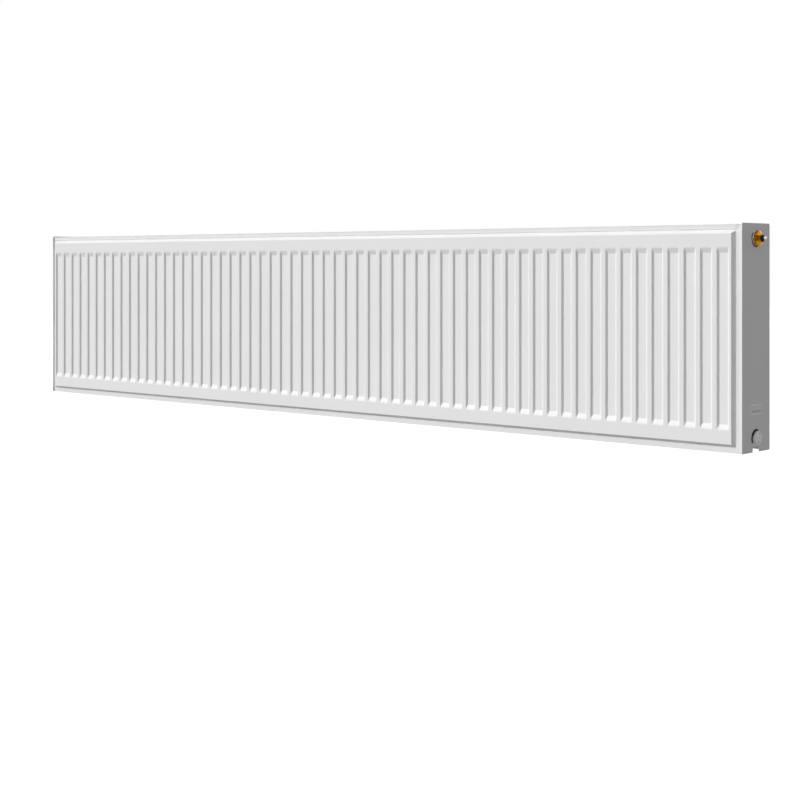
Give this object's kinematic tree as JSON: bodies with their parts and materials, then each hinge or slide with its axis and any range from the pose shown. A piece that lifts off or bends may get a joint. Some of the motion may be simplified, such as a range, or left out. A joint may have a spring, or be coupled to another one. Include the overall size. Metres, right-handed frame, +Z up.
{
  "type": "panel radiator",
  "caption": "White steel double-panel radiator with fluted front, slotted top grille, clip-on side covers, end tappings, brass vent plug and hanging lugs.",
  "frame": {"origin": "middle of the length, at the bottom edge, on the plane of the hanging lugs' backs", "axes": "+X along the radiator towards the end with the plugs, +Y towards the wall, +Z up"},
  "size_m": [2.0267, 0.1182, 0.4008],
  "materials": {
    "white_enamel": "satin stoved white enamel",
    "badge_enamel": "satin",
    "spring_steel": "zinc plated",
    "plug_brass": "turned",
    "black_plastic": "moulded",
    "plated_steel": "nickel plated",
    "seal_rubber": "matte"
  },
  "bodies": {
    "radiator_body": {"front_outer_sheet": "white_enamel", "front_inner_sheet": "white_enamel", "rear_inner_sheet": "white_enamel", "rear_outer_sheet": "white_enamel", "front_convector": "white_enamel", "rear_convector": "white_enamel", "tee_top_left": "white_enamel", "tee_top_right": "white_enamel", "tee_bottom_left": "white_enamel", "tee_bottom_right": "white_enamel", "lug_top_left": "white_enamel", "lug_top_middle": "white_enamel", "lug_top_right": "white_enamel", "lug_bottom_left": "white_enamel", "lug_bottom_middle": "white_enamel", "lug_bottom_right": "white_enamel", "blind_plug": "white_enamel", "grille_clips": "spring_steel", "vent_plug_body": "plug_brass", "vent_plug_seal": "seal_rubber", "blind_plug_seal": "seal_rubber"},
    "right_cover": {"right_side_cover": "white_enamel", "badge_plate": "badge_enamel"},
    "left_cover": {"left_side_cover": "white_enamel"},
    "grille": {"top_grille": "white_enamel"},
    "nozzle": {"vent_nozzle": "black_plastic"},
    "bleed_tip": {"bleed_seal": "seal_rubber"},
    "bleed_screw": {"bleed_screw": "plated_steel"}
  },
  "joints": [
    {"name": "grille_lift", "type": "slide", "parent": "radiator_body", "child": "grille", "axis": [0, 0, 1], "range_m": [0, 0.05]},
    {"name": "right_cover_pull", "type": "slide", "parent": "radiator_body", "child": "right_cover", "axis": [1, 0, 0], "range_m": [0, 0.03]},
    {"name": "left_cover_pull", "type": "slide", "parent": "radiator_body", "child": "left_cover", "axis": [-1, 0, 0], "range_m": [0, 0.03]},
    {"name": "nozzle_swivel", "type": "hinge", "parent": "radiator_body", "child": "nozzle", "pos_m": [1.01365, -0.0636, 0.374], "axis": [1, 0, 0], "continuous": true},
    {"name": "bleed_travel", "type": "slide", "parent": "radiator_body", "child": "bleed_tip", "axis": [1, 0, 0], "range_m": [0, 0.001]},
    {"name": "bleed_screw_turn", "type": "hinge", "parent": "bleed_tip", "child": "bleed_screw", "pos_m": [1.01, -0.0636, 0.374], "axis": [1, 0, 0], "range_deg": [0, 360]}
  ],
  "couplings": [
    {"joint": "bleed_screw_turn", "follows": "bleed_travel", "rad_per_m": 6283}
  ]
}
